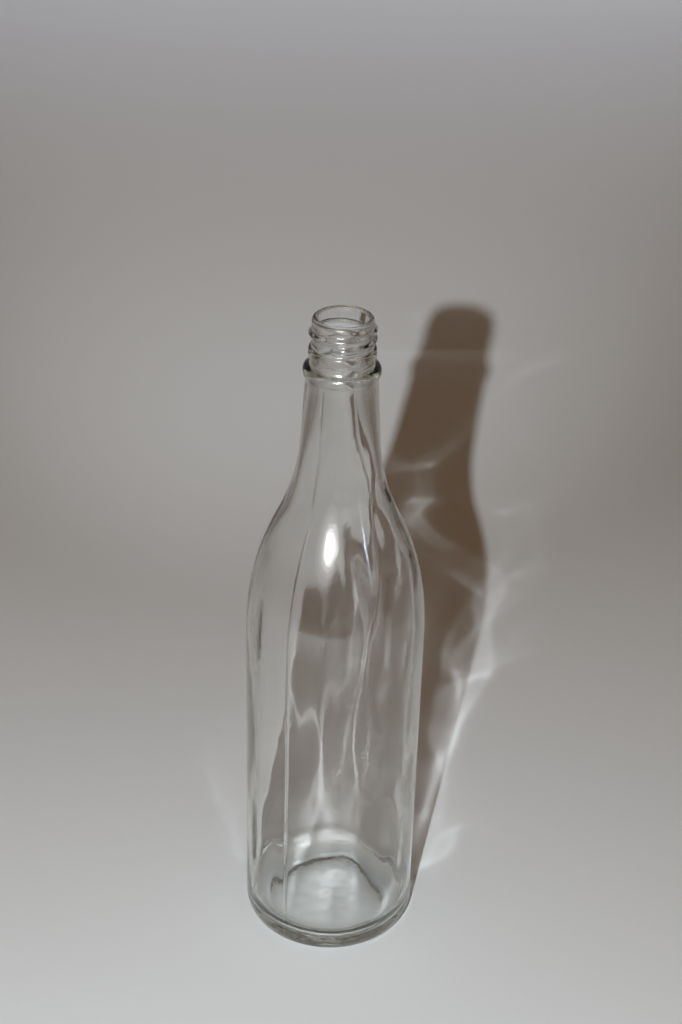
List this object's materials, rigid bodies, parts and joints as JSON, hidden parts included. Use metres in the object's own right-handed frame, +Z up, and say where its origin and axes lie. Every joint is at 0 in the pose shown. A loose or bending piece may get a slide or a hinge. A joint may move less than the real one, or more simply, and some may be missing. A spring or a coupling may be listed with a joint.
{
  "type": "wine bottle",
  "caption": "Empty clear glass wine bottle: straight round body, sloping shoulder, slim neck and an open screw-thread mouth.",
  "frame": {"origin": "centre of the flat ring that the bottle stands on, on its axis", "axes": "+Z up the bottle's axis from base to mouth, -Y towards the picture's viewer, +X to the viewer's right"},
  "size_m": [0.076, 0.076, 0.297],
  "materials": {
    "clear_glass": "clear moulded glass, smooth and glossy, with a faint grey-green tint at the edges"
  },
  "bodies": {
    "root": {"bottle": "clear_glass"}
  },
  "joints": []
}
